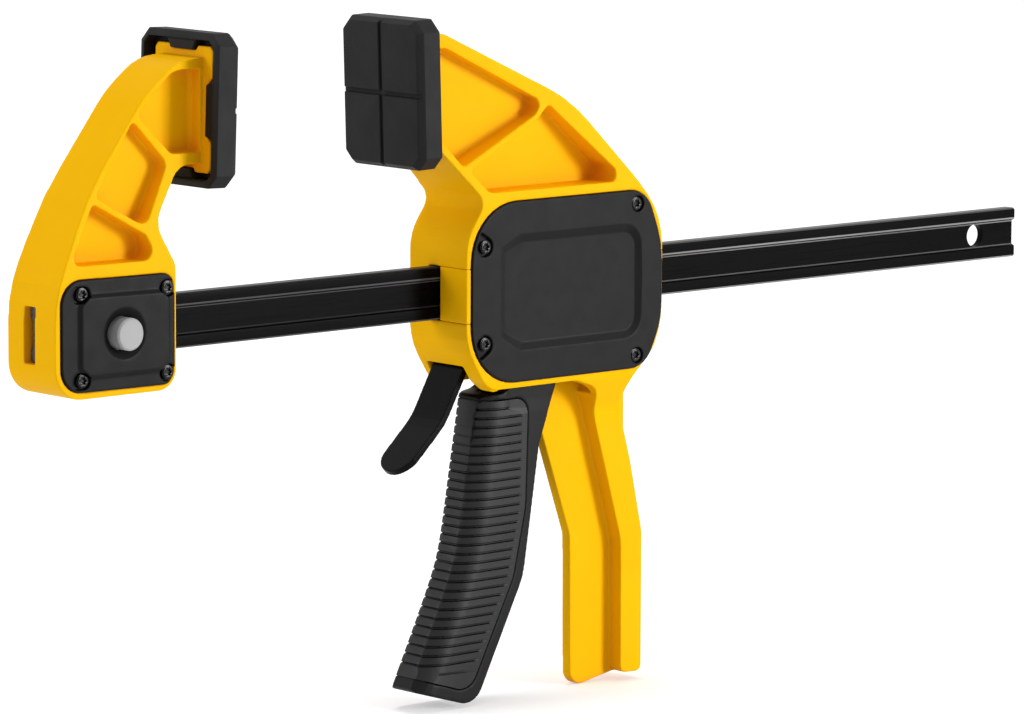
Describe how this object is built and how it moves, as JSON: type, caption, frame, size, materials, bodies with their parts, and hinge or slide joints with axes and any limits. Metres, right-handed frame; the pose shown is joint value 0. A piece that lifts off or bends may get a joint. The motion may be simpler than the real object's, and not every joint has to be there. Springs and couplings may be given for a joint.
{
  "type": "quick release bar clamp",
  "caption": "Trigger-driven bar clamp: body with moving jaw slides on an I-section steel bar; fixed jaw at the bar's end, soft pads, release lever and jaw release button.",
  "frame": {"origin": "centre of the moving jaw's clamping face", "axes": "+X along the bar from the fixed jaw to the bar's free end, +Z from the bar towards the jaws' tips, +Y away from the covers"},
  "size_m": [0.511, 0.0464, 0.2686],
  "materials": {
    "yellow_nylon": "moulded, satin",
    "black_cover": "moulded, fine texture",
    "black_plastic": "moulded, satin",
    "grip_rubber": "soft matte",
    "pad_rubber": "soft matte",
    "black_bar": "black oxide and paint, satin",
    "black_coated_steel": "satin",
    "black_screw": "black oxide",
    "steel": "plain",
    "grey_button": "moulded"
  },
  "bodies": {
    "body": {"body_housing": "yellow_nylon", "body_cover": "black_cover", "body_cover_screws": "black_screw", "front_bar_guide": "yellow_nylon", "rear_bar_guide": "yellow_nylon", "moving_jaw_pad": "pad_rubber", "trigger_pin": "steel", "drive_spring": "steel", "brake_spring": "steel"},
    "trigger": {"trigger_lever": "black_plastic", "trigger_grip": "grip_rubber"},
    "drive": {"drive_plates": "steel"},
    "release": {"release_lever": "black_coated_steel", "brake_plate": "steel"},
    "bar": {"bar": "black_bar", "fixed_jaw_housing": "yellow_nylon", "fixed_jaw_cover": "black_cover", "fixed_jaw_cover_screws": "black_screw", "fixed_jaw_pad": "pad_rubber", "button_spring": "steel"},
    "button": {"release_button": "grey_button", "lock_yoke": "steel"}
  },
  "joints": [
    {"name": "bar_slide", "type": "slide", "parent": "body", "child": "bar", "axis": [1, 0, 0], "range_m": [-0.212, 0.085]},
    {"name": "trigger_pull", "type": "hinge", "parent": "body", "child": "trigger", "pos_m": [0.067, 0, -0.0583], "axis": [0, -1, 0], "range_deg": [0, 16], "stiffness_Nm_per_rad": 1.2, "springref_deg": -28.65},
    {"name": "drive_stroke", "type": "slide", "parent": "body", "child": "drive", "axis": [1, 0, 0], "range_m": [0, 0.0058], "deforming": ["drive_spring"]},
    {"name": "release_pull", "type": "hinge", "parent": "body", "child": "release", "pos_m": [0.0425, 0, -0.0588], "axis": [0, -1, 0], "range_deg": [0, 7], "stiffness_Nm_per_rad": 0.8, "springref_deg": -17.19, "deforming": ["brake_spring"]},
    {"name": "button_press", "type": "slide", "parent": "bar", "child": "button", "axis": [0, 1, 0], "range_m": [0, 0.0034], "stiffness_N_per_m": 800, "springref_m": -0.004, "deforming": ["button_spring"]}
  ],
  "couplings": [
    {"joint": "drive_stroke", "follows": "trigger_pull", "m_per_rad": 0.02}
  ]
}
